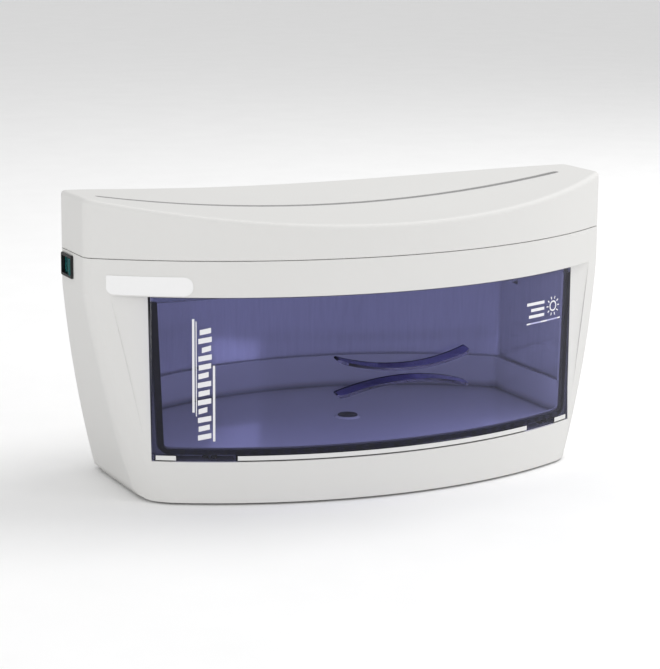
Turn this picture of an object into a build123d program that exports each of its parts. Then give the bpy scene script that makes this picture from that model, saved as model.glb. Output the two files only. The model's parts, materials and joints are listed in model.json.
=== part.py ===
"""UV sterilizer cabinet: a table-top chamber for salon tools with a pull-out drawer.

Millimetres, +Z up.  The curved front faces -Y.  The parts are drawn about the casing and
written about the middle of the whole footprint, grips included; z = 0 is the surface
that the four rubber feet stand on.
"""
import os
from math import atan2, cos, pi, sin, sqrt

from build123d import *

# ---------------------------------------------------------------- driving sizes
WIDTH = 370.0            # overall width of the casing
FRONT_Y = -96.5          # foremost point of the curved front
BACK_Y = 103.5           # rearmost point of the curved back
FRONT_R = 294.0          # radius of the front in plan
BACK_R = 238.0           # radius of the back in plan
CORNER_R = 10.0          # plan radius of the four upright corners
HALF = WIDTH / 2

FOOT_H = 1.5             # the casing's lower edge stands this far off the table
BAND_Z = 133.0           # lower edge of the upright band, and top of the window
SEAM_Z = 156.0           # joint between casing and top cover
TOP_MID_Z = 176.5        # lowest point of the dished top
TOP_RISE = 16.7          # how far the dished top rises towards its two ends
TOP_R = (HALF ** 2 + TOP_RISE ** 2) / (2 * TOP_RISE)

WALL = 2.5               # moulded wall
SEAM_GAP = 0.4
TAPER_A = 18.9           # the casing's ends draw in by A*u + B*u*u, u = 0 at the band
TAPER_B = 10.9           # and u = 1 at the table
FOOT_CORNER_R = 36.0     # plan corner radius where the casing meets the table
FOOT_ROUND = 9.0         # rounding of the lower ends

WIN_X = 150.4            # half width of the window
WIN_Z0 = 28.0            # its lower edge
CHEEK_X = 172.0          # outer end of the hollow beside the window, at the band
CHEEK_D = 5.0            # depth of that hollow beside the window, at the band

PANEL_GAP = 0.6          # gap round the drawer's front
PANEL_T = 3.0
SEAL_T = 2.5             # front to back
SEAL_W = 3.0             # width of the dark line that it makes
SEAL_TOP_X = 147.8       # middle of the seal at its upper ends
SEAL_LOW_X = 143.8       # and at its lower corners
SEAL_Z0 = 33.8           # middle of its level run
SEAL_Z1 = 129.0
FLANGE_T = 2.0

DECK_Z = 27.5            # top of the casing's inner floor
DECK_T = 2.5
TRAY_Z = 31.0            # underside of the tray's floor
TRAY_T = 2.0
TRAY_WALL_Z = 55.0
TRAY_HALF = 143.5
TRAY_BACK_R = 221.8
LINER_HALF = 146.8
LINER_BACK_R = 224.8
LINER_T = 0.8
RAIL_X = 90.0
RAIL_W = 6.0
RAIL_H = 3.1

LEDGE_Z = 133.4          # underside of the ledge that carries the ceiling panel
LEDGE_T = 2.6
CEIL_Z = LEDGE_Z + LEDGE_T
CEIL_T = 1.0

LAMP_Y = 20.0            # 8 W lamp, 16 mm tube
LAMP_Z = 122.0
LAMP_R = 8.0
LAMP_HALF = 144.15       # to the outer faces of the end caps
CAP_L = 10.0
PIN_L = 7.0
PIN_R = 1.15
PIN_PITCH = 4.8

SWITCH_Y = 1.0
SWITCH_Z = 146.5
SWITCH_L = 21.0
SWITCH_H = 15.0
SWITCH_PROUD = 1.5
ROCKER_TILT = 10.0

INLET_ANGLE = -15.0      # where the mains cable enters, about the back's centre
INLET_Z = 145.0
INLET_BORE_R = 3.6

SENSOR_Z = 45.0          # drawer interlock, behind the chamber's back wall
SCREW_R = 1.5            # all casing screws are M3

FRONT_CY = FRONT_Y + FRONT_R
BACK_CY = BACK_Y - BACK_R
PANEL_R = FRONT_R - 0.4
SEAL_R = PANEL_R - PANEL_T
FLANGE_R = SEAL_R - SEAL_T
FLANGE_BACK_R = FLANGE_R - FLANGE_T


# ---------------------------------------------------------------- outlines in plan
def front_y(x, radius=FRONT_R):
    return FRONT_CY - sqrt(radius ** 2 - x ** 2)


def corner(centre_y, radius, half, corner_r, side):
    """Centre of a corner, its end on the long arc, and its middle; side is -1 at the front."""
    cx = half - corner_r
    cy = centre_y + side * sqrt((radius - corner_r) ** 2 - cx ** 2)
    turn = atan2(cx, side * (cy - centre_y))
    on_arc = (radius * sin(turn), centre_y + side * radius * cos(turn))
    middle = (turn + pi / 2) / 2
    mid = (cx + corner_r * sin(middle), cy + side * corner_r * cos(middle))
    return (half, cy), on_arc, mid


def mirror_x(point):
    return (-point[0], point[1])


def plan_wire(half, front_r, back_r, front_corner, back_corner, z=0.0):
    """Lens-shaped outline: two long arcs, two straight ends, four rounded corners."""
    f_side, f_arc, f_mid = corner(FRONT_CY, front_r, half, front_corner, -1)
    b_side, b_arc, b_mid = corner(BACK_CY, back_r, half, back_corner, 1)
    front_top = (0.0, FRONT_CY - front_r)
    back_top = (0.0, BACK_CY + back_r)
    edges = [
        ThreePointArc(mirror_x(f_arc), front_top, f_arc),
        ThreePointArc(f_arc, f_mid, f_side),
        Line(f_side, b_side),
        ThreePointArc(b_side, b_mid, b_arc),
        ThreePointArc(b_arc, back_top, mirror_x(b_arc)),
        ThreePointArc(mirror_x(b_arc), mirror_x(b_mid), mirror_x(b_side)),
        Line(mirror_x(b_side), mirror_x(f_side)),
        ThreePointArc(mirror_x(f_side), mirror_x(f_mid), mirror_x(f_arc)),
    ]
    return Pos(0, 0, z) * Wire([edge.edge() for edge in edges])


def casing_face(inset, z):
    """The casing's outline at a height, moved inwards by inset."""
    drop = (BAND_Z - z) / BAND_Z
    half = HALF - TAPER_A * drop - TAPER_B * drop ** 2
    growth = (FOOT_CORNER_R - CORNER_R) * drop ** 2
    front_corner = max(CORNER_R + growth - inset, 1.0)
    back_corner = max(CORNER_R + 0.5 * growth - inset, 1.0)
    return Face(plan_wire(half - inset, FRONT_R - inset, BACK_R - inset, front_corner, back_corner, z))


def upright(inset, z0, z1):
    """Upright block on the band's outline."""
    return extrude(casing_face(inset, BAND_Z).moved(Location((0, 0, z0 - BAND_Z))), z1 - z0)


def lower_body(inset, overlap=0.0):
    """The tapering part of the casing, below the band, with rounded lower ends."""
    low = FOOT_H - 2 * overlap
    high = BAND_Z + overlap
    body = loft([casing_face(inset, z) for z in (low, (low + high) / 2, high)])
    foot_half = HALF - TAPER_A - TAPER_B - inset
    slope = (TAPER_A + 2 * TAPER_B) / BAND_Z
    sides = [(foot_half, 0, 0), (foot_half + slope * 2 * BAND_Z, 0, 2 * BAND_Z)]
    ring = [(-x, y, z + low) for x, y, z in reversed(sides)] + [(x, y, z + low) for x, y, z in sides]
    outline = FilletPolyline(*ring, radius=[0, FOOT_ROUND, FOOT_ROUND, 0], close=True)
    return body & Pos(0, BACK_Y + 5, 0) * extrude(make_face(outline), 220, dir=(0, -1, 0))


def front_slice(x0, x1, outer_r, inner_r, z0, z1):
    """Part of a curved wall that follows the front, between two x positions."""
    mid = (x0 + x1) / 2
    edges = [
        ThreePointArc((x0, front_y(x0, outer_r)), (mid, front_y(mid, outer_r)),
                      (x1, front_y(x1, outer_r))),
        Line((x1, front_y(x1, outer_r)), (x1, front_y(x1, inner_r))),
        ThreePointArc((x1, front_y(x1, inner_r)), (mid, front_y(mid, inner_r)),
                      (x0, front_y(x0, inner_r))),
        Line((x0, front_y(x0, inner_r)), (x0, front_y(x0, outer_r))),
    ]
    return Pos(0, 0, z0) * extrude(make_face(edges), z1 - z0)


def bay(half, back_r, front, corner_r, z0, z1):
    """Block with straight sides, a curved back and a straight front edge."""
    b_side, b_arc, b_mid = corner(BACK_CY, back_r, half, corner_r, 1)
    edges = [
        Line((-half, front), (half, front)),
        Line((half, front), b_side),
        ThreePointArc(b_side, b_mid, b_arc),
        ThreePointArc(b_arc, (0.0, BACK_CY + back_r), mirror_x(b_arc)),
        ThreePointArc(mirror_x(b_arc), mirror_x(b_mid), mirror_x(b_side)),
        Line(mirror_x(b_side), (-half, front)),
    ]
    return Pos(0, 0, z0) * extrude(make_face(edges), z1 - z0)


def front_cylinder(radius, z0, z1):
    return Pos(0, FRONT_CY, (z0 + z1) / 2) * Cylinder(radius, z1 - z0)


def back_frame(angle, radius, z):
    """Place things on the back: local +Z points out of the back at this angle."""
    return Pos(0, BACK_CY, z) * Rot(0, 0, -angle) * Pos(0, radius, 0) * Rot(-90, 0, 0)


def box_between(low, high):
    size = [b - a for a, b in zip(low, high)]
    centre = [(a + b) / 2 for a, b in zip(low, high)]
    return Pos(*centre) * Box(*size)


def four(x, y_front, y_back):
    return [(sx * x, y) for sx in (-1, 1) for y in (y_front, y_back)]


# ---------------------------------------------------------------- top cover
GROOVE_HALF = 168.0
GROOVE_W = 5.0
GROOVE_D = 5.0
GROOVE_Y = -3.0
ROOF_T = 3.0
LIP_Z = 149.5
LIP_GAP = 0.25
LIP_T = 1.6
COVER_SCREW_ANGLES = (-9.0, 9.0)
COVER_SCREW_Z = 151.0


def below_dish(offset):
    """Everything that lies under the dished top surface moved up by offset."""
    tall = box_between((-HALF - 5, FRONT_Y - 5, SEAM_Z - 20), (HALF + 5, BACK_Y + 5, SEAM_Z + 60))
    roll = Pos(0, 0, TOP_MID_Z + TOP_R) * Rot(90, 0, 0) * Cylinder(TOP_R - offset, 3 * HALF)
    return tall - roll


def groove(width, z0=SEAM_Z, z1=SEAM_Z + 60):
    slot = SlotOverall(2 * GROOVE_HALF + (width - GROOVE_W), width)
    return Pos(0, GROOVE_Y, z0) * extrude(slot, z1 - z0)


def cover_boss(angle):
    return back_frame(angle, BACK_R - WALL - LIP_GAP - 6.0, COVER_SCREW_Z) * Cylinder(
        3.6, 6.0, align=(Align.CENTER, Align.CENTER, Align.MIN))


def top_cover():
    block = upright(0, SEAM_Z, SEAM_Z + 60) & below_dish(0)
    rim = block.edges().filter_by(lambda e: e.bounding_box().min.Z > TOP_MID_Z - 1)
    block = fillet(rim, 2.6)
    seam = block.faces().sort_by(Axis.Z)[0].edges()
    block = chamfer(seam, SEAM_GAP)
    hollow = upright(WALL, SEAM_Z - 1, SEAM_Z + 60) & below_dish(-ROOF_T)
    channel = (groove(GROOVE_W + 4) & below_dish(-1)) - below_dish(-GROOVE_D - 2)
    cover = block - hollow + channel
    cover = cover - (groove(GROOVE_W) - below_dish(-GROOVE_D))
    lip_out = WALL + LIP_GAP
    lip = upright(lip_out, LIP_Z, SEAM_Z + 4) - upright(lip_out + LIP_T, LIP_Z - 1, SEAM_Z + 5)
    foot = upright(WALL - 0.5, SEAM_Z + 0.6, SEAM_Z + 4) - upright(lip_out + LIP_T, SEAM_Z, SEAM_Z + 5)
    cover = cover + lip + foot
    for angle in COVER_SCREW_ANGLES:
        cover = cover + cover_boss(angle)
        cover = cover - back_frame(angle, BACK_R - 12, COVER_SCREW_Z) * Cylinder(
            SCREW_R, 12, align=(Align.CENTER, Align.CENTER, Align.MIN))
    gap = SWITCH_L / 2 + 1.5
    notch = box_between((-HALF, SWITCH_Y - gap, LIP_Z - 1), (-HALF + 14, SWITCH_Y + gap, SEAM_Z - 0.2))
    inlet = back_frame(INLET_ANGLE, BACK_R - 10, INLET_Z) * Cylinder(8.2, 20)
    return cover - notch - inlet


def screw(length, head_r=2.9, head_h=1.9):
    """Pan head screw along +Z: shank below z = 0, head above, cross recess in the head."""
    head = Cylinder(head_r, head_h, align=(Align.CENTER, Align.CENTER, Align.MIN))
    head = fillet(head.edges().group_by(Axis.Z)[-1], head_h * 0.45)
    shank = Cylinder(SCREW_R, length, align=(Align.CENTER, Align.CENTER, Align.MAX))
    cross = Box(head_r * 1.1, 0.7, 1.0) + Box(0.7, head_r * 1.1, 1.0)
    return head + shank - Pos(0, 0, head_h - 0.3) * cross


def cover_screws():
    return [back_frame(angle, BACK_R, COVER_SCREW_Z) * screw(8.0) for angle in COVER_SCREW_ANGLES]


# ---------------------------------------------------------------- casing
VENT_ANGLES = [2.0 + 1.5 * i for i in range(-6, 11)]
VENT_W = 3.0
VENT_Z = (139.0, 147.0)
BASE_SCREWS = four(118.0, -50.0, 40.0)
FEET = four(128.0, -42.0, 30.0)
CEIL_SCREWS = four(171.0, -14.0, -2.0)
POST_R = 4.2


def cheek_cutter(side):
    """Hollow beside the window, fading out towards the window's lower corner."""
    profiles = []
    for z, edge_x, depth in ((WIN_Z0, WIN_X + 1.2, 0.5), (BAND_Z, CHEEK_X, CHEEK_D)):
        inner = WIN_X - 2
        deep = (inner, front_y(inner) + depth)
        start = (edge_x, front_y(edge_x))
        middle = ((inner + edge_x) / 2, (deep[1] + start[1]) / 2 + 0.22 * depth)
        out = 30.0
        edges = [
            ThreePointArc(deep, middle, start),
            Line(start, (edge_x, start[1] - out)),
            Line((edge_x, start[1] - out), (inner, start[1] - out)),
            Line((inner, start[1] - out), deep),
        ]
        wire = Wire([edge.edge() for edge in edges])
        profiles.append(Face(Pos(0, 0, z) * wire))
    cutter = loft(profiles)
    return cutter if side > 0 else mirror(cutter, Plane.YZ)


def cheek_backing(side):
    x0, x1 = sorted((side * WIN_X, side * (CHEEK_X + 4)))
    return front_slice(x0, x1, FRONT_R - 1, FRONT_R - CHEEK_D - WALL - 0.5, WIN_Z0, BAND_Z + 1)


def window():
    return front_slice(-WIN_X, WIN_X, FRONT_R + 20, FRONT_R - 20, WIN_Z0, BAND_Z)


def vent_slots():
    slots = []
    for angle in VENT_ANGLES:
        slot = SlotOverall(VENT_Z[1] - VENT_Z[0], VENT_W)
        slots.append(back_frame(angle, BACK_R - 8, sum(VENT_Z) / 2) * Rot(0, 0, 90) * extrude(slot, 16))
    return slots


def main_housing():
    outer = lower_body(0) + upright(0, BAND_Z, SEAM_Z - SEAM_GAP)
    shell = outer - lower_body(WALL, 1.0) - upright(WALL, BAND_Z, SEAM_Z + 1)
    deck = lower_body(WALL - 1) & box_between((-HALF, FRONT_Y, DECK_Z - DECK_T), (HALF, BACK_Y, DECK_Z))
    ledge = upright(WALL - 1, LEDGE_Z, CEIL_Z) - upright(WALL + 9, LEDGE_Z - 1, CEIL_Z + 1)
    shell = shell + deck + ledge
    for side in (-1, 1):
        shell = shell + (cheek_backing(side) & lower_body(0.5))
    shell = shell - window()
    for side in (-1, 1):
        shell = shell - cheek_cutter(side)
    for x, y in BASE_SCREWS:
        shell = shell + Pos(x, y, 4.2) * Cylinder(
            POST_R, DECK_Z - DECK_T - 3.2, align=(Align.CENTER, Align.CENTER, Align.MIN))
        shell = shell - Pos(x, y, 0) * Cylinder(
            SCREW_R, 16, align=(Align.CENTER, Align.CENTER, Align.MIN))
    for x, y in CEIL_SCREWS:
        shell = shell - Pos(x, y, LEDGE_Z - 1) * Cylinder(
            SCREW_R, 6, align=(Align.CENTER, Align.CENTER, Align.MIN))
    for x, y in RAIL_SCREWS:
        shell = shell - Pos(x, y, DECK_Z - 5) * Cylinder(
            SCREW_R + 0.03, 6, align=(Align.CENTER, Align.CENTER, Align.MIN))
    for slot in vent_slots():
        shell = shell - slot
    for angle in COVER_SCREW_ANGLES:
        shell = shell - back_frame(angle, BACK_R, COVER_SCREW_Z) * Cylinder(SCREW_R + 0.2, 12)
    shell = shell - back_frame(INLET_ANGLE, BACK_R, INLET_Z) * Cylinder(INLET_NECK_R, 12)
    shell = shell - Pos(-HALF, SWITCH_Y, SWITCH_Z) * Box(12, SWITCH_BODY_L, SWITCH_BODY_H)
    pad_front = SENSOR_Y + SENSOR_D
    pad = box_between((-11, pad_front, SENSOR_Z - 4), (11, BACK_Y - 1, SENSOR_Z + 4))
    shell = shell + pad
    for x in (-SENSOR_SCREW_X, SENSOR_SCREW_X):
        shell = shell - Pos(x, pad_front, SENSOR_Z) * Rot(-90, 0, 0) * Cylinder(1.0, 3.0)
    return shell


# ---------------------------------------------------------------- base
BASE_T = 2.5
FOOT_R = 8.0


def base_plate():
    plate = extrude(casing_face(WALL + 0.4, FOOT_H), BASE_T)
    for x, y in BASE_SCREWS:
        plate = plate - Pos(x, y, FOOT_H + 1) * Cylinder(SCREW_R + 0.2, 8)
        plate = plate - Pos(x, y, FOOT_H) * Cylinder(
            3.2, 1.2, align=(Align.CENTER, Align.CENTER, Align.MIN))
    for x, y in FEET:
        plate = plate - Pos(x, y, FOOT_H + 1) * Cylinder(3.0, 8)
    for i in range(-4, 5):
        slot = Pos(i * 12.0, 60.0, FOOT_H - 1) * extrude(SlotOverall(26, 3, rotation=90), BASE_T + 2)
        plate = plate - slot
    return plate


def base_screws():
    seat = FOOT_H + 1.2
    return [Pos(x, y, seat) * Rot(180, 0, 0) * screw(10.0, 2.9, 1.1) for x, y in BASE_SCREWS]


def rubber_feet():
    feet = []
    for x, y in FEET:
        pad = Cylinder(FOOT_R, FOOT_H, align=(Align.CENTER, Align.CENTER, Align.MIN))
        pad = fillet(pad.edges().group_by(Axis.Z)[0], 0.6)
        stem = Pos(0, 0, FOOT_H) * Cylinder(3.0, BASE_T, align=(Align.CENTER, Align.CENTER, Align.MIN))
        knob = Pos(0, 0, FOOT_H + BASE_T) * Cone(4.0, 2.2, 3.0, align=(Align.CENTER, Align.CENTER, Align.MIN))
        feet.append(Pos(x, y, 0) * (pad + stem + knob))
    return feet


# ---------------------------------------------------------------- chamber
RAIL_Y0 = -70.0
RAIL_Y1 = 60.0
RAIL_SCREWS = four(RAIL_X, -52.0, 42.0)
LINER_FRONT_Y = -48.0
REFLECTOR_HALF = 118.0
HOLDER_X0 = LAMP_HALF + 0.35
HOLDER_X1 = 158.0
HOLDER_W = 15.0
HOLDER_Z0 = LAMP_Z - 11.0


def chamber_liner():
    z1 = LEDGE_Z - 0.3
    outer = bay(LINER_HALF, LINER_BACK_R, LINER_FRONT_Y, 6.0, DECK_Z, z1)
    inner = bay(LINER_HALF - LINER_T, LINER_BACK_R - LINER_T, LINER_FRONT_Y - 1, 5.2, DECK_Z - 1, z1 + 1)
    liner = outer - inner
    for side in (-1, 1):
        hole = Pos(side * LINER_HALF, LAMP_Y, (HOLDER_Z0 + z1) / 2 + 1)
        liner = liner - hole * Box(6, HOLDER_W + 1, z1 - HOLDER_Z0 + 3)
    return liner - Pos(0, LINER_BACK_R + BACK_CY, SENSOR_Z) * Rot(90, 0, 0) * Cylinder(2.2, 8)


def drawer_rails():
    rails = []
    for side in (-1, 1):
        rail = box_between((-RAIL_W / 2, RAIL_Y0, DECK_Z), (RAIL_W / 2, RAIL_Y1, DECK_Z + RAIL_H))
        rail = fillet(rail.edges().filter_by(Axis.Z), 1.2)
        rail = Pos(side * RAIL_X, 0, 0) * rail
        for x, y in RAIL_SCREWS:
            rail = rail - Pos(x, y, DECK_Z + 1.6) * Cylinder(
                2.7, 4, align=(Align.CENTER, Align.CENTER, Align.MIN))
            rail = rail - Pos(x, y, DECK_Z) * Cylinder(SCREW_R + 0.1, 8)
        rails.append(rail)
    return rails


def rail_screws():
    return [Pos(x, y, DECK_Z + 1.6) * screw(4.0, 2.5, 1.3) for x, y in RAIL_SCREWS]


def ceiling_panel():
    panel = extrude(casing_face(WALL + 0.5, BAND_Z).moved(Location((0, 0, CEIL_Z - BAND_Z))), CEIL_T)
    for x, y in CEIL_SCREWS:
        panel = panel - Pos(x, y, CEIL_Z) * Cylinder(SCREW_R + 0.2, 6)
    for x, y in BALLAST_SCREWS:
        panel = panel - Pos(x, y, CEIL_Z) * Cylinder(SCREW_R, 6)
    for x in WIRE_HOLES:
        panel = panel - Pos(x, LAMP_Y, CEIL_Z) * Cylinder(2.6, 6)
    return panel


def ceiling_screws():
    return [Pos(x, y, CEIL_Z + CEIL_T) * screw(5.0) for x, y in CEIL_SCREWS]


def reflector():
    """Bent bright sheet above the lamp, open downwards."""
    half, low_half, drop, t = 13.0, 25.0, 9.0, 0.6
    top = CEIL_Z - 0.2
    points = [(-low_half, top - drop), (-half, top - t), (half, top - t), (low_half, top - drop)]
    outer = [(low_half + t, top - drop), (half + t * 0.4, top)]
    outer += [(-y, z) for y, z in reversed(outer)]
    ring = [(0, LAMP_Y + y, z) for y, z in points + outer]
    face = make_face(Polyline(*ring, close=True))
    return Pos(-REFLECTOR_HALF, 0, 0) * extrude(face, 2 * REFLECTOR_HALF, dir=(1, 0, 0))


# ---------------------------------------------------------------- lamp
def along_x(x, y, z):
    """Local +Z points along +X."""
    return Pos(x, y, z) * Rot(0, 90, 0)


def uv_lamp():
    half = LAMP_HALF - 1.2
    tube = along_x(0, LAMP_Y, LAMP_Z) * Cylinder(LAMP_R, 2 * half)
    return tube - along_x(0, LAMP_Y, LAMP_Z) * Cylinder(LAMP_R - 0.8, 2 * half + 2)


def lamp_cap(side):
    end = Cylinder(LAMP_R + 0.5, CAP_L, align=(Align.CENTER, Align.CENTER, Align.MAX))
    end = fillet(end.edges().group_by(Axis.Z)[-1], 1.2)
    end = end - Pos(0, 0, -1.2) * Cylinder(LAMP_R, CAP_L, align=(Align.CENTER, Align.CENTER, Align.MAX))
    for dz in (-PIN_PITCH / 2, PIN_PITCH / 2):
        pin = Pos(dz, 0, -0.6) * Cylinder(PIN_R, PIN_L + 0.6, align=(Align.CENTER, Align.CENTER, Align.MIN))
        end = end + fillet(pin.edges().group_by(Axis.Z)[-1], 0.5)
    return Pos(side * LAMP_HALF, LAMP_Y, LAMP_Z) * Rot(0, side * 90, 0) * end


def lamp_holder(side):
    body = box_between((HOLDER_X0, -HOLDER_W / 2, HOLDER_Z0), (HOLDER_X1, HOLDER_W / 2, CEIL_Z - 0.1))
    body = fillet(body.edges().filter_by(Axis.X).group_by(Axis.Z)[0], 6.0)
    for dz in (-PIN_PITCH / 2, PIN_PITCH / 2):
        body = body - along_x(HOLDER_X0, 0, LAMP_Z + dz) * Cylinder(PIN_R + 0.05, 2 * (PIN_L + 0.5))
    body = Pos(0, LAMP_Y, 0) * body
    return body if side > 0 else mirror(body, Plane.YZ)


# ---------------------------------------------------------------- electrics on the ceiling panel
GEAR_Z = CEIL_Z + CEIL_T
BALLAST_X = (-80.0, 5.0)
BALLAST_Y = (0.0, 41.0)
BALLAST_H = 28.0
BALLAST_SCREWS = [(BALLAST_X[0] + 5.5, 20.5), (BALLAST_X[1] - 5.5, 20.5)]
WIRE_HOLES = (-152.0, 152.0)
STARTER_X = (52.0, 90.0)
STARTER_R = 10.75
STARTER_Y = 22.0
STARTER_Z = GEAR_Z + 13.0
TERMINAL = ((-136.0, 18.0), (-120.0, 48.0))
TERMINAL_H = 14.0
WIRE_R = 1.1


def ballast():
    x0, x1 = BALLAST_X
    y0, y1 = BALLAST_Y
    base = box_between((x0, y0, GEAR_Z), (x1, y1, GEAR_Z + 1.6))
    base = fillet(base.edges().filter_by(Axis.Z), 4.0)
    core = box_between((x0 + 17, y0, GEAR_Z + 1.6), (x1 - 17, y1, GEAR_Z + BALLAST_H))
    core = chamfer(core.edges().filter_by(Axis.X), 2.0)
    coil = box_between((x0 + 11, y0 + 7, GEAR_Z + 5), (x1 - 11, y1 - 7, GEAR_Z + BALLAST_H - 4))
    coil = fillet(coil.edges().filter_by(Axis.Y), 3.0)
    body = base + core + coil
    for i in range(1, 9):
        x = x0 + 17 + i * (x1 - x0 - 34) / 9
        cut = Box(0.4, y1 - y0 + 2, BALLAST_H) - Box(1, y1 - y0 - 0.8, BALLAST_H - 0.8)
        body = body - Pos(x, (y0 + y1) / 2, GEAR_Z + 4 + BALLAST_H / 2) * cut
    for x, y in BALLAST_SCREWS:
        body = body - Pos(x, y, GEAR_Z) * Cylinder(SCREW_R + 0.2, 8)
    return body


def ballast_screws():
    return [Pos(x, y, GEAR_Z + 1.6) * screw(2.6) for x, y in BALLAST_SCREWS]


def starter():
    x0, x1 = STARTER_X
    can = Cylinder(STARTER_R, x1 - x0, align=(Align.CENTER, Align.CENTER, Align.MIN))
    can = fillet(can.edges().group_by(Axis.Z)[0], 2.5)
    for dy in (-6.5, 6.5):
        can = can + Pos(dy, 0, x1 - x0) * Cylinder(1.8, 3.0, align=(Align.CENTER, Align.CENTER, Align.MIN))
    return Pos(x0, STARTER_Y, STARTER_Z) * Rot(0, 90, 0) * Rot(0, 0, 90) * can


def starter_holder():
    x1 = STARTER_X[1] + 0.3
    block = box_between((x1, STARTER_Y - 13, GEAR_Z), (x1 + 11, STARTER_Y + 13, STARTER_Z + 11))
    block = fillet(block.edges().filter_by(Axis.X).group_by(Axis.Z)[-1], 5.0)
    for dy in (-6.5, 6.5):
        block = block - along_x(x1, STARTER_Y + dy, STARTER_Z) * Cylinder(1.9, 8.0)
    cradle = box_between((STARTER_X[0] + 6, STARTER_Y - 9, GEAR_Z), (x1, STARTER_Y + 9, STARTER_Z - 5))
    cradle = cradle - along_x(STARTER_X[0], STARTER_Y, STARTER_Z) * Cylinder(STARTER_R + 0.2, 200)
    return block + cradle


def terminal_block():
    (x0, y0), (x1, y1) = TERMINAL
    block = box_between((x0, y0, GEAR_Z), (x1, y1, GEAR_Z + TERMINAL_H))
    block = fillet(block.edges().filter_by(Axis.Y).group_by(Axis.Z)[-1], 2.0)
    pitch = (y1 - y0) / 3
    for i in range(3):
        y = y0 + (i + 0.5) * pitch
        for x in (x0 + 4, x1 - 4):
            block = block - Pos(x, y, GEAR_Z + TERMINAL_H) * Cylinder(2.0, 5.0)
        block = block - along_x((x0 + x1) / 2, y, GEAR_Z + 5.5) * Cylinder(1.6, 40)
    for i in range(1, 3):
        gap = Box(x1 - x0 + 2, 1.0, 5.0)
        block = block - Pos((x0 + x1) / 2, y0 + i * pitch, GEAR_Z + TERMINAL_H) * gap
    return block


def lead(points, radius):
    """Round lead along straight runs joined by bends of one radius."""
    path = FilletPolyline(*points, radius=radius)
    return sweep(Plane(origin=path @ 0, z_dir=path % 0) * Circle(WIRE_R), path=path)


def switch_leads():
    (x0, y0), (x1, y1) = TERMINAL
    z = GEAR_Z + 5.5
    pitch = (y1 - y0) / 3
    tab = -HALF + SWITCH_DEPTH + 8.0
    leads = []
    for i, dy in ((0, -SWITCH_TAB_Y), (1, SWITCH_TAB_Y)):
        y = y0 + (i + 0.5) * pitch
        run = [(tab, SWITCH_Y + dy, SWITCH_Z), (tab + 8, SWITCH_Y + dy, SWITCH_Z),
               (tab + 14, y, z), (x0, y, z)]
        leads.append(lead(run, 3.0))
    return leads


def ballast_leads():
    (x0, y0), (x1, y1) = TERMINAL
    z = GEAR_Z + 5.5
    pitch = (y1 - y0) / 3
    first = y0 + 0.5 * pitch
    into = [(x1, first, z), (x1 + 18, first, z)]
    into += [(BALLAST_X[0] + 3, 14, z + 4), (BALLAST_X[0] + 11, 14, z + 4)]
    low = GEAR_Z + 1.4
    left = [(BALLAST_X[0] + 11, 30, z + 4), (BALLAST_X[0] - 4, 30, z + 4), (x1 + 6, 52, low),
            (x0 - 1, 52, low), (WIRE_HOLES[0], LAMP_Y + 16, low), (WIRE_HOLES[0], LAMP_Y, low),
            (WIRE_HOLES[0], LAMP_Y, CEIL_Z - 0.1)]
    return [lead(into, 3.0), lead(left, 1.2)]


def starter_leads():
    z = GEAR_Z + 6
    x1 = STARTER_X[1] + 11.3
    run = [(x1, STARTER_Y, z), (WIRE_HOLES[1], STARTER_Y, z), (WIRE_HOLES[1], LAMP_Y, CEIL_Z + 0.1)]
    return [lead(run, 3.0)]


# ---------------------------------------------------------------- power switch
SWITCH_BODY_L = 19.2
SWITCH_BODY_H = 12.8
SWITCH_DEPTH = 12.0
SWITCH_TAB_Y = 5.5
PIVOT_X = -HALF + 1.0
ROCKER_END_R = 8.4
ROCKER_H = 10.6
ROCKER_PIN_R = 1.2


def power_switch():
    bezel = box_between(
        (-HALF - SWITCH_PROUD, -SWITCH_L / 2, -SWITCH_H / 2), (-HALF, SWITCH_L / 2, SWITCH_H / 2))
    bezel = fillet(bezel.edges().filter_by(Axis.X), 1.5)
    bezel = fillet(bezel.faces().sort_by(Axis.X)[0].edges(), 0.6)
    body = box_between((-HALF, -SWITCH_BODY_L / 2, -SWITCH_BODY_H / 2),
                       (-HALF + SWITCH_DEPTH, SWITCH_BODY_L / 2, SWITCH_BODY_H / 2))
    well = box_between((-HALF - 5, -ROCKER_END_R - 0.35, -ROCKER_H / 2 - 0.2),
                       (PIVOT_X + 7.0, ROCKER_END_R + 0.35, ROCKER_H / 2 + 0.2))
    switch = bezel + body - well
    switch = switch - Pos(PIVOT_X, 0, 0) * Cylinder(ROCKER_PIN_R + 0.06, SWITCH_BODY_H + 0.2)
    for dy in (-SWITCH_TAB_Y, SWITCH_TAB_Y):
        root = -HALF + SWITCH_DEPTH
        tab = box_between((root - 1, dy - 2.4, -0.4), (root + 8, dy + 2.4, 0.4))
        switch = switch + tab
    return Pos(0, SWITCH_Y, SWITCH_Z) * switch


def switch_rocker():
    """Rocker, modelled pressed down at one end: it turns about the pivot pins."""
    high = 1.9
    reach = sqrt(ROCKER_END_R ** 2 - high ** 2)
    low = 5.4
    low_reach = sqrt(ROCKER_END_R ** 2 - low ** 2)
    edges = [
        ThreePointArc((-high, -reach), (-0.9, 0), (-high, reach)),
        ThreePointArc((-high, reach), (0, ROCKER_END_R), (low, low_reach)),
        Line((low, low_reach), (low, -low_reach)),
        ThreePointArc((low, -low_reach), (0, -ROCKER_END_R), (-high, -reach)),
    ]
    rocker = Pos(0, 0, -ROCKER_H / 2) * extrude(make_face(edges), ROCKER_H)
    rocker = fillet(rocker.edges().filter_by(Axis.Z).group_by(Axis.X)[0], 0.5)
    rocker = rocker + Cylinder(ROCKER_PIN_R, SWITCH_BODY_H - 0.1)
    return Pos(PIVOT_X, SWITCH_Y, SWITCH_Z) * Rot(0, 0, -ROCKER_TILT) * rocker


# ---------------------------------------------------------------- cable inlet
INLET_NECK_R = 6.0


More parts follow.
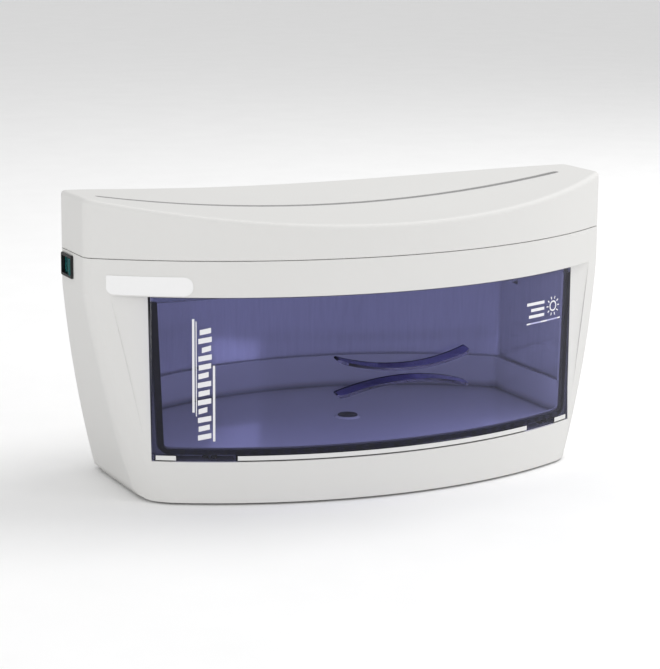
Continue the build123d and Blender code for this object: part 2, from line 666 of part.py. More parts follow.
def inlet_bush():
    flange = Cylinder(8.5, 1.6, align=(Align.CENTER, Align.CENTER, Align.MIN))
    flange = Pos(0, 0, 0.15) * fillet(flange.edges().group_by(Axis.Z)[-1], 0.8)
    nose = Pos(0, 0, 1.0) * Cone(6.2, 5.2, 4.0, align=(Align.CENTER, Align.CENTER, Align.MIN))
    neck = Cylinder(INLET_NECK_R, WALL + 2.4, align=(Align.CENTER, Align.CENTER, Align.MAX))
    barb = Cone(7.0, 6.0, 2.0, align=(Align.CENTER, Align.CENTER, Align.MAX))
    bush = flange + nose + Pos(0, 0, 0.2) * neck + Pos(0, 0, -WALL - 0.3) * barb
    bush = bush - Cylinder(INLET_BORE_R, 40)
    return back_frame(INLET_ANGLE, BACK_R, INLET_Z) * bush


# ---------------------------------------------------------------- drawer interlock
SENSOR_Y = LINER_BACK_R + BACK_CY + 0.4
SENSOR_D = 8.0
SENSOR_SCREW_X = 6.5
PLUNGER_R = 1.2
PLUNGER_TIP_Y = TRAY_BACK_R + BACK_CY + 0.3


def interlock_switch():
    body = box_between((-10, SENSOR_Y, SENSOR_Z - 3.2), (10, SENSOR_Y + SENSOR_D, SENSOR_Z + 3.2))
    body = fillet(body.edges().filter_by(Axis.Y), 0.6)
    body = body - Pos(0, SENSOR_Y, SENSOR_Z) * Rot(90, 0, 0) * Cylinder(PLUNGER_R + 0.05, 9.0)
    for x in (-SENSOR_SCREW_X, SENSOR_SCREW_X):
        body = body - Pos(x, SENSOR_Y + 4, SENSOR_Z) * Rot(90, 0, 0) * Cylinder(1.1, 12)
        body = body - Pos(x, SENSOR_Y, SENSOR_Z) * Rot(90, 0, 0) * Cylinder(2.0, 2.8)
    return body


def interlock_screws():
    screws = []
    for x in (-SENSOR_SCREW_X, SENSOR_SCREW_X):
        head = Cylinder(1.9, 1.2, align=(Align.CENTER, Align.CENTER, Align.MIN))
        shank = Cylinder(1.0, 7.6, align=(Align.CENTER, Align.CENTER, Align.MAX))
        cross = Pos(0, 0, 1.2) * (Box(2.2, 0.5, 0.8) + Box(0.5, 2.2, 0.8))
        screws.append(Pos(x, SENSOR_Y + 1.4, SENSOR_Z) * Rot(90, 0, 0) * (head + shank - cross))
    return screws


def interlock_plunger():
    rod = Cylinder(PLUNGER_R, SENSOR_Y + 3.2 - PLUNGER_TIP_Y, align=(Align.CENTER, Align.CENTER, Align.MIN))
    rod = fillet(rod.edges().group_by(Axis.Z)[-1], 0.8)
    return Pos(0, SENSOR_Y + 3.2, SENSOR_Z) * Rot(90, 0, 0) * rod


# ---------------------------------------------------------------- drawer
GRIP_X = 4.0             # middle of the two grips
GRIP_HALF = 45.5
GRIP_T = 1.9
GRIP_PROUD = 10.0
GRIP_DROOP = 0.14        # fall of a grip per millimetre that it stands out
GRIP_END_R = 6.0         # rounding of its ends in plan
GRIPS = ((92.8, 86.4), (70.4, 78.6))
CLIP_X = (-118.4, -113.4, 121.4, 126.4)
CLIP_W = 2.4
CLIP_Z = (29.9, 32.1)
FLANGE_HALF = 149.6
FLANGE_Z0 = 28.9
LIP_SPANS = ((-148.0, -136.8), (-101.3, 107.0), (135.5, 148.0))
LIP_TOP = 31.8           # top of the tray's lips under the drawer's front
SEAL_CORNER_R = 5.0
RUNNER_T = 2.0
RUNNER_GAPS = (-RAIL_W / 2 - 0.4 - RUNNER_T, RAIL_W / 2 + 0.4)
DRAIN_X = 6.4
DRAIN_Y = -9.0
DRAIN_R = 6.0
DRAIN_RIM_R = 9.0
DRAIN_RIM_H = 1.2


def trapezoid(half_low, half_top, z0, z1, radius):
    """Upright slab through the front, narrower below, with rounded lower corners."""
    top = [(half_top, 0, z1), (-half_top, 0, z1)]
    ring = [(-half_low, 0, z0), (half_low, 0, z0)] + top
    outline = FilletPolyline(*ring, radius=[radius, radius, 0, 0], close=True)
    return Pos(0, -30, 0) * extrude(make_face(outline), 140, dir=(0, -1, 0))


def grip(end_z, mid_z):
    """Curved finger ledge that stands out of the drawer's front."""
    rise = -GRIP_DROOP * FRONT_Y
    line = ThreePointArc((-GRIP_HALF, end_z), (0, mid_z), (GRIP_HALF, end_z))
    outline = Pos(GRIP_X, 0, rise) * (Plane.XZ * SlotArc(line, GRIP_T))
    blade = extrude(outline, 140, dir=Vector(0, -1, -GRIP_DROOP).normalized())
    low, high = sorted((end_z, mid_z))
    reach = GRIP_HALF + GRIP_T / 2
    ring = front_slice(GRIP_X - reach, GRIP_X + reach, PANEL_R + GRIP_PROUD, PANEL_R - 1, low - 9, high + 9)
    front_edges = ring.edges().filter_by(Axis.Z).sort_by(Axis.Y)[:2]
    return blade & fillet(front_edges, GRIP_END_R)


def drawer_front():
    half = WIN_X - PANEL_GAP
    panel = front_slice(-half, half, PANEL_R, SEAL_R, WIN_Z0 + PANEL_GAP, BAND_Z - PANEL_GAP)
    panel = fillet(panel.edges().filter_by(Axis.Z), 0.8)
    for x0, x1 in LIP_SPANS:
        panel = panel - front_slice(x0 - 0.2, x1 + 0.2, FRONT_R + 5, SEAL_R - 5, WIN_Z0 - 1, LIP_TOP + 0.2)
    for end_z, mid_z in GRIPS:
        panel = panel + grip(end_z, mid_z)
    return panel


def seal_slab(grow, z_top):
    half_low = SEAL_LOW_X + grow
    half_top = SEAL_TOP_X + grow
    return trapezoid(half_low, half_top, SEAL_Z0 - grow, z_top, SEAL_CORNER_R + grow)


def drawer_seal():
    ring = front_slice(-FLANGE_HALF, FLANGE_HALF, SEAL_R, FLANGE_R, FLANGE_Z0, SEAL_Z1)
    return (ring & seal_slab(SEAL_W / 2, SEAL_Z1)) - seal_slab(-SEAL_W / 2, SEAL_Z1 + 20)


def tray_flange():
    """Upright flange round the tray's front, with a lip in three lengths under the panel."""
    flange = front_slice(-FLANGE_HALF, FLANGE_HALF, FLANGE_R, FLANGE_BACK_R, TRAY_Z, SEAL_Z1)
    flange = flange - seal_slab(-SEAL_W / 2 - 1.0, SEAL_Z1 + 20)
    for x in CLIP_X:
        gap = box_between((x - CLIP_W / 2 - 0.1, FRONT_Y - 5, TRAY_Z - 1),
                          (x + CLIP_W / 2 + 0.1, -30, CLIP_Z[1] + 0.1))
        flange = flange - gap
    for x0, x1 in LIP_SPANS:
        lip = front_slice(x0, x1, PANEL_R - 0.1, FLANGE_BACK_R, FLANGE_Z0, LIP_TOP)
        flange = flange + lip
    return flange


def drawer_tray():
    z1 = TRAY_WALL_Z
    outer = bay(TRAY_HALF, TRAY_BACK_R, -99.0, 6.0, TRAY_Z, z1)
    outer = outer & front_cylinder(FLANGE_BACK_R + 0.5, TRAY_Z - 1, z1 + 1)
    inner = bay(TRAY_HALF - 1.8, TRAY_BACK_R - 1.8, -130.0, 4.2, TRAY_Z + TRAY_T, z1 + 1)
    tray = outer - inner + tray_flange()
    for side in (-1, 1):
        for offset in RUNNER_GAPS:
            x = side * RAIL_X + offset
            rib = box_between((x, -60, DECK_Z + 0.9), (x + RUNNER_T, 58, TRAY_Z + 0.5))
            tray = tray + rib
    rim = Cone(DRAIN_RIM_R, DRAIN_RIM_R - DRAIN_RIM_H, DRAIN_RIM_H,
               align=(Align.CENTER, Align.CENTER, Align.MIN))
    tray = tray + Pos(DRAIN_X, DRAIN_Y, TRAY_Z + TRAY_T) * rim
    return tray - Pos(DRAIN_X, DRAIN_Y, TRAY_Z) * Cylinder(DRAIN_R, 10)


def panel_clips():
    """Small hooks that hold the drawer's front to the tray's flange."""
    half = CLIP_W / 2
    return [front_slice(x - half, x + half, SEAL_R, FLANGE_BACK_R + 0.6, *CLIP_Z) for x in CLIP_X]


def badge():
    """Blank label at the left end of the band, with a rounded right end."""
    x0, x1, z0, z1 = -174.0, -127.0, BAND_Z + 0.8, BAND_Z + 12.8
    corners = [(x0, 0, z0), (x1, 0, z0), (x1, 0, z1), (x0, 0, z1)]
    outline = FilletPolyline(*corners, radius=[4.0, 5.4, 5.4, 0.8], close=True)
    slab = extrude(make_face(outline), 140, dir=(0, -1, 0))
    return slab & front_slice(x0 - 1, x1 + 1, FRONT_R + 0.5, FRONT_R, z0 - 1, z1 + 1)


# the middle of the footprint, grips included, lies at y = 0 in the files
SHIFT_Y = (GRIP_PROUD + PANEL_R - FRONT_CY - BACK_Y) / 2

NODES = {
    "top_cover": top_cover,
    "cover_screws": cover_screws,
    "main_housing": main_housing,
    "base_plate": base_plate,
    "base_screws": base_screws,
    "rubber_feet": rubber_feet,
    "chamber_liner": chamber_liner,
    "drawer_rails": drawer_rails,
    "rail_screws": rail_screws,
    "ceiling_panel": ceiling_panel,
    "ceiling_screws": ceiling_screws,
    "reflector": reflector,
    "uv_lamp_tube": uv_lamp,
    "lamp_cap_left": lambda: lamp_cap(-1),
    "lamp_cap_right": lambda: lamp_cap(1),
    "lamp_holder_left": lambda: lamp_holder(-1),
    "lamp_holder_right": lambda: lamp_holder(1),
    "ballast": ballast,
    "ballast_screws": ballast_screws,
    "starter": starter,
    "starter_holder": starter_holder,
    "terminal_block": terminal_block,
    "switch_leads": switch_leads,
    "ballast_leads": ballast_leads,
    "starter_lead": starter_leads,
    "power_switch": power_switch,
    "switch_rocker": switch_rocker,
    "inlet_bush": inlet_bush,
    "interlock_switch": interlock_switch,
    "interlock_screws": interlock_screws,
    "interlock_plunger": interlock_plunger,
    "drawer_front": drawer_front,
    "drawer_seal": drawer_seal,
    "drawer_tray": drawer_tray,
    "panel_clips": panel_clips,
    "blank_badge": badge,
}


def as_shape(made):
    """One shape from one piece or from several, moved to where the files have it."""
    pieces = made if isinstance(made, list) else [made]
    solids = [Pos(0, SHIFT_Y, 0) * solid for piece in pieces for solid in piece.solids()]
    return solids[0] if len(solids) == 1 else Compound(children=solids)


os.makedirs("parts", exist_ok=True)
for name, make in NODES.items():
    shape = as_shape(make())
    export_step(shape, f"parts/{name}.step")
    print(f"{name:18s} solids {len(shape.solids())}  volume {shape.volume / 1000:.2f} cm3")
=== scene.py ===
"""Looks of the UV sterilizer cabinet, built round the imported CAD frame. Metres, +Z up."""
import json
import math

import bpy
from mathutils import Matrix, Vector


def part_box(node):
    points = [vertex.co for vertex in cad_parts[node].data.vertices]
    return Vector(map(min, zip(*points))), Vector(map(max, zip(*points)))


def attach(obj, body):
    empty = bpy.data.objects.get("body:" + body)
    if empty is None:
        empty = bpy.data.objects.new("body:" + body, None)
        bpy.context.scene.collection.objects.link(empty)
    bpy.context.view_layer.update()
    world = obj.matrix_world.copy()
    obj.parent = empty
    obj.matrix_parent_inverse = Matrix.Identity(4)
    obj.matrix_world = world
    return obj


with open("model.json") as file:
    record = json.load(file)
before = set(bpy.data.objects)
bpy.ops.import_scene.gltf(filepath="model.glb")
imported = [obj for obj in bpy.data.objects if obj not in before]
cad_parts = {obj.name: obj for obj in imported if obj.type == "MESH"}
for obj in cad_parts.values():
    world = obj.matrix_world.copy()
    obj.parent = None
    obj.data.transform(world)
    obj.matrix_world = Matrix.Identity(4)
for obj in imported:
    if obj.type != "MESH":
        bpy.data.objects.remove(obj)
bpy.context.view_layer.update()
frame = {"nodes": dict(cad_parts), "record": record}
NODES = frame["nodes"]

# ---------------------------------------------------------------- colours (scene-linear)
CASING = (0.76, 0.755, 0.74)
VIOLET = (0.58, 0.585, 0.88)
VIOLET_PANE = (0.78, 0.785, 0.94)
WHITE_PART = (0.80, 0.80, 0.79)
GRIP_TINT = (0.60, 0.54, 0.76)
# painted shade colour for the strip over the top cover's groove
GROOVE_PAINTED_SHADE = (0.70, 0.70, 0.71)

# ---------------------------------------------------------------- measures taken over from the CAD
FRONT_R = 0.2936            # outer radius of the drawer's front, in plan
GRIP_PROUD = 0.0100         # how far the grip ridges stand out of it
FRONT_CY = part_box("drawer_front")[0][1] + GRIP_PROUD + FRONT_R
GROOVE_Y = -0.0017          # line of the groove in the top cover
GROOVE_HALF = 0.168
GROOVE_SHADE_HALF = 0.0042  # half width of the painted shade strip; the groove itself is 5 mm wide
GROOVE_LOWEST = 0.152       # nothing under this height gets the painted shade
AO_CORNER, AO_OPEN = 0.45, 0.85     # ambient occlusion that counts as a corner, and as open, for the painted corner shade

MATERIALS = {}              # material slot: material


# ---------------------------------------------------------------- node helpers
def new_material(name):
    material = bpy.data.materials.new("look_" + name)
    MATERIALS[name] = material
    material.use_nodes = True
    tree = material.node_tree
    return material, tree, tree.nodes["Principled BSDF"]


def add(tree, kind, **settings):
    node = tree.nodes.new(kind)
    for key, value in settings.items():
        if key in node.inputs:
            node.inputs[key].default_value = value
        else:
            setattr(node, key, value)
    return node


def noise(tree, scale, detail=4.0, roughness=0.5, stretch=(1, 1, 1)):
    place = add(tree, "ShaderNodeTexCoord")
    mapping = add(tree, "ShaderNodeMapping")
    mapping.inputs["Scale"].default_value = stretch
    texture = add(tree, "ShaderNodeTexNoise")
    texture.inputs["Scale"].default_value = scale
    texture.inputs["Detail"].default_value = detail
    texture.inputs["Roughness"].default_value = roughness
    tree.links.new(place.outputs["Object"], mapping.inputs["Vector"])
    tree.links.new(mapping.outputs["Vector"], texture.inputs["Vector"])
    return texture.outputs["Fac"]


def ramp(tree, source, low, high):
    """Maps the middle of a noise to a colour or, with numbers, to a grey."""
    node = add(tree, "ShaderNodeValToRGB")
    first, last = node.color_ramp.elements
    first.position, last.position = 0.3, 0.7
    low = low if isinstance(low, tuple) else (low,) * 3
    high = high if isinstance(high, tuple) else (high,) * 3
    first.color, last.color = (*low, 1), (*high, 1)
    tree.links.new(source, node.inputs["Fac"])
    return node.outputs["Color"]


def bump(tree, source, strength, distance):
    node = add(tree, "ShaderNodeBump")
    node.inputs["Strength"].default_value = strength
    node.inputs["Distance"].default_value = distance
    tree.links.new(source, node.inputs["Height"])
    return node.outputs["Normal"]


def shade(colour, by):
    return tuple(min(1.0, c * by) for c in colour)


def wander(tree, source, value, down, up):
    """A colour or a number that drifts between two multiples of itself."""
    if isinstance(value, tuple):
        return ramp(tree, source, shade(value, down), shade(value, up))
    return ramp(tree, source, value * down, value * up)


def plastic(name, colour, rough=0.3, spread=0.03, grain=900.0, depth=0.08, coat=0.0, patch=0.13):
    """Moulded plastic: faint tone drift, a fine skin texture and uneven gloss."""
    material, tree, shader = new_material(name)
    tone = wander(tree, noise(tree, 14.0, 3.0), colour, 1 - spread, 1 + spread)
    gloss = wander(tree, noise(tree, 60.0, 5.0), rough, 1 - patch, 1 + patch)
    tree.links.new(tone, shader.inputs["Base Color"])
    tree.links.new(gloss, shader.inputs["Roughness"])
    tree.links.new(bump(tree, noise(tree, grain, 2.0), depth, 0.00015), shader.inputs["Normal"])
    shader.inputs["Coat Weight"].default_value = coat
    shader.inputs["Coat Roughness"].default_value = 0.12
    return material


def metal(name, colour, rough=0.25, stretch=(1, 1, 1), scale=300.0, depth=0.1):
    """Sheet or turned metal with fine marks along one direction."""
    material, tree, shader = new_material(name)
    marks = noise(tree, scale, 4.0, 0.6, stretch)
    tree.links.new(wander(tree, marks, colour, 0.92, 1.05), shader.inputs["Base Color"])
    tree.links.new(wander(tree, marks, rough, 0.75, 1.3), shader.inputs["Roughness"])
    tree.links.new(bump(tree, marks, depth, 0.0001), shader.inputs["Normal"])
    shader.inputs["Metallic"].default_value = 1.0
    return material


def rubber(name, colour, rough=0.7):
    return plastic(name, colour, rough, 0.12, 1500.0, 0.25)


def tinted_glass(name, colour, pane, rough=0.03, ior=1.49):
    """Clear moulding: real refraction for the eye, plain tint for light that goes through."""
    material, tree, shader = new_material(name)
    shader.inputs["Transmission Weight"].default_value = 1.0
    shader.inputs["IOR"].default_value = ior
    tone = wander(tree, noise(tree, 9.0, 2.0), colour, 0.97, 1.03)
    gloss = wander(tree, noise(tree, 40.0, 3.0), rough, 0.6, 1.6)
    tree.links.new(tone, shader.inputs["Base Color"])
    tree.links.new(gloss, shader.inputs["Roughness"])
    clear = add(tree, "ShaderNodeBsdfTransparent")
    clear.inputs["Color"].default_value = (*pane, 1)
    rays = add(tree, "ShaderNodeLightPath")
    either = add(tree, "ShaderNodeMath", operation="MAXIMUM")
    mix = add(tree, "ShaderNodeMixShader")
    tree.links.new(rays.outputs["Is Shadow Ray"], either.inputs[0])
    tree.links.new(rays.outputs["Is Diffuse Ray"], either.inputs[1])
    tree.links.new(either.outputs[0], mix.inputs["Fac"])
    tree.links.new(shader.outputs[0], mix.inputs[1])
    tree.links.new(clear.outputs[0], mix.inputs[2])
    tree.links.new(mix.outputs[0], tree.nodes["Material Output"].inputs["Surface"])
    return material


def multiply_base(material, colour, where=None):
    """Multiplies a material's base colour by a colour or an output, all over or where a mask is 1."""
    tree = material.node_tree
    base = tree.nodes["Principled BSDF"].inputs["Base Color"]
    tint = add(tree, "ShaderNodeMix", data_type="RGBA", blend_type="MULTIPLY")
    tree.links.new(base.links[0].from_socket, tint.inputs["A"])
    if where:
        tree.links.new(where, tint.inputs["Factor"])
    else:
        tint.inputs["Factor"].default_value = 1.0
    if isinstance(colour, tuple):
        tint.inputs["B"].default_value = (*colour, 1)
    else:
        tree.links.new(colour, tint.inputs["B"])
    tree.links.new(tint.outputs["Result"], base)


def span(tree, source, low, high, least=0.0):
    """Maps low..high to least..1, and keeps to those ends beyond it."""
    node = add(tree, "ShaderNodeMapRange")
    node.inputs["From Min"].default_value = low
    node.inputs["From Max"].default_value = high
    node.inputs["To Min"].default_value = least
    tree.links.new(source, node.inputs["Value"])
    return node.outputs[0]


def maths(tree, operation, source, other=None):
    """One sum on an output, with a number or with another output."""
    node = add(tree, "ShaderNodeMath", operation=operation)
    tree.links.new(source, node.inputs[0])
    if isinstance(other, float):
        node.inputs[1].default_value = other
    elif other:
        tree.links.new(other, node.inputs[1])
    return node.outputs[0]


def paint_corner_shade(material, reach, least):
    """Painted shade: base colour darker where two walls meet, by ambient occlusion."""
    tree = material.node_tree
    near = add(tree, "ShaderNodeAmbientOcclusion", Distance=reach)
    multiply_base(material, span(tree, near.outputs["AO"], AO_CORNER, AO_OPEN, least))


def paint_groove_shade(material):
    """Painted shade in and just beside the groove of the top cover, as a grey strip with round ends."""
    tree = material.node_tree
    place = add(tree, "ShaderNodeTexCoord")
    axes = add(tree, "ShaderNodeSeparateXYZ")
    both = add(tree, "ShaderNodeCombineXYZ")
    away = add(tree, "ShaderNodeVectorMath", operation="LENGTH")
    tree.links.new(place.outputs["Object"], axes.inputs[0])
    along = maths(tree, "ABSOLUTE", axes.outputs["X"])
    past_end = maths(tree, "SUBTRACT", along, GROOVE_HALF - GROOVE_SHADE_HALF)
    tree.links.new(maths(tree, "MAXIMUM", past_end, 0.0), both.inputs["X"])
    tree.links.new(maths(tree, "SUBTRACT", axes.outputs["Y"], GROOVE_Y), both.inputs["Y"])
    tree.links.new(both.outputs[0], away.inputs[0])
    inside = span(tree, away.outputs["Value"], GROOVE_SHADE_HALF + 0.0003, GROOVE_SHADE_HALF - 0.0006)
    high = maths(tree, "GREATER_THAN", axes.outputs["Z"], GROOVE_LOWEST)
    multiply_base(material, GROOVE_PAINTED_SHADE, maths(tree, "MULTIPLY", inside, high))


def deepen_outside(material, piece):
    """Deeper tint where the grip ridges stand out of the drawer's curved front."""
    tree = material.node_tree
    place = add(tree, "ShaderNodeTexCoord")
    away = add(tree, "ShaderNodeVectorMath", operation="SUBTRACT")
    away.inputs[1].default_value = piece.matrix_world.inverted() @ Vector((0, FRONT_CY, 0))
    flat = add(tree, "ShaderNodeVectorMath", operation="MULTIPLY")
    flat.inputs[1].default_value = (1, 1, 0)
    length = add(tree, "ShaderNodeVectorMath", operation="LENGTH")
    tree.links.new(place.outputs["Object"], away.inputs[0])
    tree.links.new(away.outputs[0], flat.inputs[0])
    tree.links.new(flat.outputs[0], length.inputs[0])
    outside = span(tree, length.outputs["Value"], FRONT_R + 0.0002, FRONT_R + 0.0010)
    multiply_base(material, GRIP_TINT, outside)


def own(material, socket, value):
    """Sets one of the shader's own values."""
    material.node_tree.nodes["Principled BSDF"].inputs[socket].default_value = value


# ---------------------------------------------------------------- materials
casing = plastic("casing_plastic", CASING, 0.42, 0.004, 900.0, 0.003, 0.0, 0.03)
# painted shade along the groove, wider than the 5 mm groove itself
paint_groove_shade(casing)
own(casing, "Specular IOR Level", 0.25)
plastic("base_plastic", (0.62, 0.61, 0.59), 0.5, 0.03, 900.0, 0.2)
metal("screw_steel", (0.62, 0.62, 0.64), 0.28, (1, 1, 1), 900.0)
rubber("foot_rubber", (0.03, 0.03, 0.03))
liner = metal("liner_metal", (0.90, 0.90, 0.93), 0.12, (14, 14, 1), 40.0, 0.05)
own(liner, "Metallic", 0.4)
plastic("rail_nylon", (0.74, 0.73, 0.70), 0.45)
metal("ceiling_steel", (0.66, 0.66, 0.68), 0.35, (1, 12, 1), 60.0)
metal("reflector_metal", (0.90, 0.90, 0.92), 0.08, (12, 1, 1), 60.0, 0.04)
metal("cap_metal", (0.75, 0.75, 0.76), 0.3)
plastic("holder_plastic", (0.82, 0.82, 0.80), 0.4)
plastic("ballast_paint", (0.10, 0.10, 0.11), 0.42, 0.2, 700.0, 0.3)
plastic("starter_plastic", (0.78, 0.78, 0.78), 0.3)
plastic("terminal_plastic", (0.70, 0.66, 0.54), 0.4)
plastic("lead_brown", (0.10, 0.04, 0.02), 0.4)
plastic("lead_blue", (0.02, 0.07, 0.30), 0.4)
plastic("switch_black", (0.012, 0.012, 0.013), 0.22)
rubber("bush_rubber", (0.02, 0.02, 0.02), 0.55)
plastic("plunger_red", (0.45, 0.03, 0.02), 0.35)
seal = rubber("seal_rubber", (0.008, 0.008, 0.014), 0.5)
tray = plastic("tray_plastic", WHITE_PART, 0.12, 0.02, 1200.0, 0.03, 0.4)
# painted shade in the tray's inner corners
paint_corner_shade(tray, reach=0.008, least=0.25)
plastic("badge_plastic", (0.93, 0.93, 0.93), 0.25, 0.005)
violet = tinted_glass("panel_violet", VIOLET, VIOLET_PANE)
deepen_outside(violet, NODES["drawer_front"])
tinted_glass("lamp_glass", (0.95, 0.97, 1.0), (0.97, 0.98, 1.0), 0.02, 1.46)
green = plastic("rocker_green", (0.008, 0.10, 0.10), 0.10, 0.05, 1500.0, 0.02, 0.6)
own(green, "Subsurface Weight", 0.3)

for part in frame["record"]["subparts"]:
    node = NODES[part["node"]]
    node.data.materials.clear()
    node.data.materials.append(MATERIALS[part["material_slot"]])


# ---------------------------------------------------------------- small pieces built here
INK_GAP = 0.00002           # between the drawer's front and the marks on it
INK_T = 0.00006


def mesh_piece(name, verts, faces, material, body, smooth=False):
    data = bpy.data.meshes.new(name)
    data.from_pydata(verts, [], faces)
    data.update()
    piece = bpy.data.objects.new(name, data)
    bpy.context.scene.collection.objects.link(piece)
    data.materials.append(material)
    for face in data.polygons:
        face.use_smooth = smooth
    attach(piece, body)
    return piece


def on_front(x, z, out):
    """A point on the drawer's curved front, moved out of it."""
    radius = FRONT_R + out
    return (x, FRONT_CY - math.sqrt(radius ** 2 - x ** 2), z)


def ink(name, outlines, material, steps=4):
    """Flat four-sided marks printed on the drawer's front: thin closed slabs that follow it."""
    verts, faces = [], []
    for (ax, az), (bx, bz), (cx, cz), (dx, dz) in outlines:
        first = len(verts)
        for i in range(steps + 1):
            t = i / steps
            low = (ax + (bx - ax) * t, az + (bz - az) * t)
            high = (dx + (cx - dx) * t, dz + (cz - dz) * t)
            for x, z in (low, high):
                verts.append(on_front(x, z, INK_GAP))
                verts.append(on_front(x, z, INK_GAP + INK_T))
        for i in range(steps):
            a = first + 4 * i
            b = a + 4
            faces += [(a + 1, b + 1, b + 3, a + 3), (a, a + 2, b + 2, b)]
            faces += [(a, b, b + 1, a + 1), (a + 2, a + 3, b + 3, b + 2)]
        last = first + 4 * steps
        faces += [(first, first + 1, first + 3, first + 2), (last, last + 2, last + 3, last + 1)]
    return mesh_piece(name, verts, faces, material, "drawer")


def bar(x0, x1, z0, z1, slant=0.0):
    return ((x0, z0), (x1, z0 + slant), (x1, z1 + slant), (x0, z1))


STRIPE_LINES = (            # left, right, bottom and top of the long upright lines
    (-0.1275, -0.1262, 0.0600, 0.1195),
    (-0.1255, -0.1250, 0.0575, 0.1180),
    (-0.1158, -0.1145, 0.0415, 0.0900),
)
STRIPE_Z = 0.0420           # lowest of the short bars
STRIPE_PITCH = 0.0056
STRIPE_H = 0.0033
STRIPE_SLANT = 0.0016
STRIPE_LEFT = -0.1240       # the short bars line up here and at the right, by turns
STRIPE_RIGHT = -0.1168
STRIPE_WIDTHS = (0.0076, 0.0064, 0.0076, 0.0050, 0.0076, 0.0064, 0.0076,
                 0.0058, 0.0070, 0.0076, 0.0052, 0.0076, 0.0064)


def side_stripes(material):
    """Plain upright stripe pattern at the left end of the drawer's front."""
    marks = [bar(*line) for line in STRIPE_LINES]
    for i, width in enumerate(STRIPE_WIDTHS):
        left = STRIPE_LEFT if i % 2 else STRIPE_RIGHT - width
        z = STRIPE_Z + i * STRIPE_PITCH
        marks.append(bar(left, left + width, z, z + STRIPE_H, STRIPE_SLANT))
    return ink("side_stripes", marks, material)


MARK_CENTRE = (0.1305, 0.1095)
MARK_PARTS = 20
MARK_RING = (0.0026, 0.0036)
MARK_RAYS = 10
MARK_RAY = (0.0047, 0.0066)
MARK_RAY_HALF = 0.0004
MARK_BARS = (0.1045, 0.1085, 0.1065)    # left ends of the level bars, from the top down
MARK_BARS_END = 0.1215
MARK_BAR_TOP = 0.1145
MARK_BAR_H = 0.0020
MARK_BAR_PITCH = 0.0042
MARK_LINE = (0.1045, 0.1385, 0.1000, 0.1010)


def round_mark(radius, angle, aside=0.0):
    """A point by its distance from the mark's centre, its angle and a step square to that."""
    c, s = math.cos(angle), math.sin(angle)
    return (MARK_CENTRE[0] + radius * c - aside * s, MARK_CENTRE[1] + radius * s + aside * c)


def corner_mark(material):
    """Plain ring with short rays, three level bars and a line under them."""
    marks = []
    inner, outer = MARK_RING
    for i in range(MARK_PARTS):
        a, b = (2 * math.pi * k / MARK_PARTS for k in (i, i + 1))
        marks.append((round_mark(inner, a), round_mark(outer, a), round_mark(outer, b), round_mark(inner, b)))
    near, far = MARK_RAY
    half = MARK_RAY_HALF
    for i in range(MARK_RAYS):
        t = 2 * math.pi * i / MARK_RAYS
        low = (round_mark(near, t, -half), round_mark(far, t, -half))
        marks.append((*low, round_mark(far, t, half), round_mark(near, t, half)))
    for i, left in enumerate(MARK_BARS):
        top = MARK_BAR_TOP - MARK_BAR_PITCH * i
        marks.append(bar(left, MARK_BARS_END, top - MARK_BAR_H, top))
    marks.append(bar(*MARK_LINE))
    return ink("corner_mark", marks, material, 2)


def lathe(name, profile, centre, material, body, parts=48):
    """Closed turned piece from a list of (radius, height) points, about an upright axis."""
    cx, cy, cz = centre
    verts, faces = [], []
    for radius, height in profile:
        for i in range(parts):
            t = 2 * math.pi * i / parts
            verts.append((cx + radius * math.cos(t), cy + radius * math.sin(t), cz + height))
    rows = len(profile)
    for j in range(rows - 1):
        for i in range(parts):
            k = (i + 1) % parts
            faces.append((j * parts + i, j * parts + k, (j + 1) * parts + k, (j + 1) * parts + i))
    faces.append(tuple(range(parts))[::-1])
    faces.append(tuple((rows - 1) * parts + i for i in range(parts)))
    return mesh_piece(name, verts, faces, material, body, smooth=True)


DRAIN = (0.0064, -0.0077, 0.0330)       # middle of the tray's drain hole, at the plug's height
PLUG_PROFILE = (
    (0.0050, -0.0028), (0.0058, -0.0016), (0.0058, 0.0012), (0.0064, 0.0013), (0.0066, 0.0017),
    (0.0062, 0.0020), (0.0050, 0.0018), (0.0034, 0.0012), (0.0012, 0.0010),
)


def drain_plug(material):
    """Soft plug pressed into the drain hole of the tray."""
    return lathe("drain_plug", PLUG_PROFILE, DRAIN, material, "drawer")


ink_white = plastic("ink_white", (0.88, 0.88, 0.90), 0.45, 0.02, 3000.0, 0.05)
side_stripes(ink_white)
corner_mark(ink_white)
drain_plug(seal)


# ---------------------------------------------------------------- stage, lights, camera
MIDDLE = (0, 0, 0.1)        # what the lights point at
WORLD_LIGHT = 0.74          # strength of the world as a light
WORLD_SEEN = 1.0            # its strength in the picture
WORLD_IN_MIRRORS = 0.45     # share of it, and of the floor, that glossy surfaces show
FLOOR_IN_MIRRORS = 0.35
CAMERA_AZIMUTH = math.radians(-24.592)
CAMERA_ELEVATION = math.radians(11.216)
CAMERA_ROLL = math.radians(0.408)
CAMERA_TARGET = Vector((-0.01424, -0.02409, 0.09352))
CAMERA_DISTANCE = 1.5545


def dim_in_mirrors(tree, shader, share):
    """Shader's colour, but darker for rays that come off a glossy surface."""
    rays = add(tree, "ShaderNodeLightPath")
    dark = add(tree, "ShaderNodeMath", operation="MULTIPLY")
    dark.inputs[1].default_value = 1 - share
    tree.links.new(rays.outputs["Is Glossy Ray"], dark.inputs[0])
    off = add(tree, "ShaderNodeBackground" if shader.type == "BACKGROUND" else "ShaderNodeBsdfDiffuse")
    off.inputs["Color"].default_value = (0, 0, 0, 1)
    mix = add(tree, "ShaderNodeMixShader")
    end = next(n for n in tree.nodes if n.type in ("OUTPUT_MATERIAL", "OUTPUT_WORLD"))
    tree.links.new(dark.outputs[0], mix.inputs["Fac"])
    tree.links.new(shader.outputs[0], mix.inputs[1])
    tree.links.new(off.outputs[0], mix.inputs[2])
    tree.links.new(mix.outputs[0], end.inputs["Surface"])


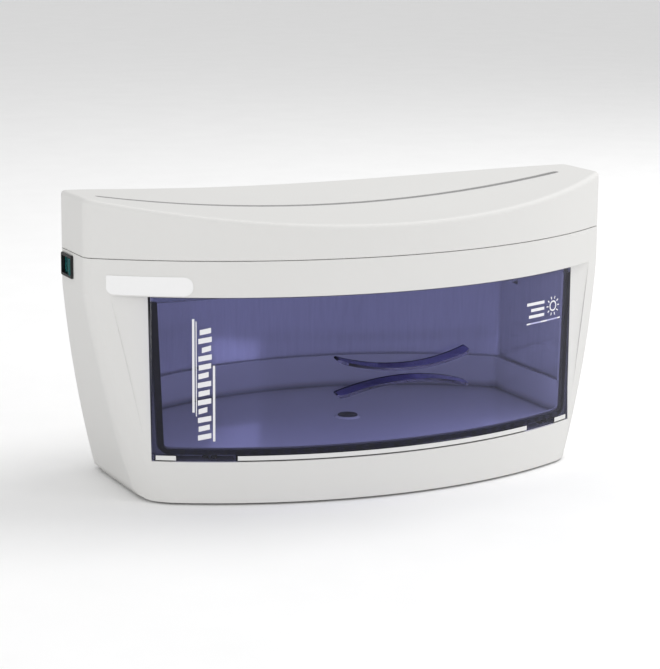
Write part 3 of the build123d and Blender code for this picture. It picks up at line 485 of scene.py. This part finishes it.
def softbox(name, place, aim, size, power):
    """Rectangular lamp that lights the object but doesn't show in glossy surfaces."""
    data = bpy.data.lights.new(name, "AREA")
    data.shape = "RECTANGLE"
    data.size, data.size_y = size
    data.energy = power
    light = bpy.data.objects.new(name, data)
    bpy.context.scene.collection.objects.link(light)
    light.location = place
    light.rotation_euler = (Vector(aim) - Vector(place)).to_track_quat("-Z", "Y").to_euler()
    light.visible_glossy = False


def pale_floor():
    bpy.ops.mesh.primitive_plane_add(size=14, location=(0, 0, 0))
    floor = bpy.context.object
    floor.name = "floor"
    pale = plastic("floor_pale", (0.95, 0.95, 0.95), 0.7, 0.01, 20.0, 0.0)
    own(pale, "Specular IOR Level", 0.1)
    dim_in_mirrors(pale.node_tree, pale.node_tree.nodes["Principled BSDF"], FLOOR_IN_MIRRORS)
    floor.data.materials.append(pale)


def white_world():
    """Plain white all round: full white to the camera, softer as a light, dim in mirrors."""
    world = bpy.data.worlds.new("studio")
    bpy.context.scene.world = world
    world.use_nodes = True
    tree = world.node_tree
    back = tree.nodes["Background"]
    back.inputs["Color"].default_value = (1, 1, 1, 1)
    back.inputs["Strength"].default_value = WORLD_LIGHT
    dim_in_mirrors(tree, back, WORLD_IN_MIRRORS)
    surface = tree.nodes["World Output"].inputs["Surface"]
    lit = surface.links[0].from_socket
    seen = add(tree, "ShaderNodeBackground", Strength=WORLD_SEEN)
    seen.inputs["Color"].default_value = (1, 1, 1, 1)
    rays = add(tree, "ShaderNodeLightPath")
    mix = add(tree, "ShaderNodeMixShader")
    tree.links.new(rays.outputs["Is Camera Ray"], mix.inputs["Fac"])
    tree.links.new(lit, mix.inputs[1])
    tree.links.new(seen.outputs[0], mix.inputs[2])
    tree.links.new(mix.outputs[0], surface)


def lights():
    softbox("top_light", (1.3, 0.2, 1.7), MIDDLE, (1.4, 1.4), 22.0)
    softbox("left_light", (-1.8, -0.9, 0.7), MIDDLE, (1.2, 1.2), 4.5)
    softbox("right_light", (1.5, -1.7, 1.0), (0, 0, 0.08), (0.8, 1.5), 6.0)


def camera():
    data = bpy.data.cameras.new("camera")
    data.sensor_width = 36.0
    data.lens = 127.2
    data.clip_start, data.clip_end = 0.05, 50
    view = bpy.data.objects.new("camera", data)
    bpy.context.scene.collection.objects.link(view)
    level = math.cos(CAMERA_ELEVATION)
    back = Vector((
        math.sin(CAMERA_AZIMUTH) * level, -math.cos(CAMERA_AZIMUTH) * level, math.sin(CAMERA_ELEVATION)))
    turn = (-back).to_track_quat("-Z", "Y").to_matrix().to_4x4() @ Matrix.Rotation(CAMERA_ROLL, 4, "Z")
    view.matrix_world = Matrix.Translation(CAMERA_TARGET + back * CAMERA_DISTANCE) @ turn
    bpy.context.scene.camera = view


bpy.context.scene.view_settings.view_transform = "Standard"
pale_floor()
white_world()
lights()
camera()
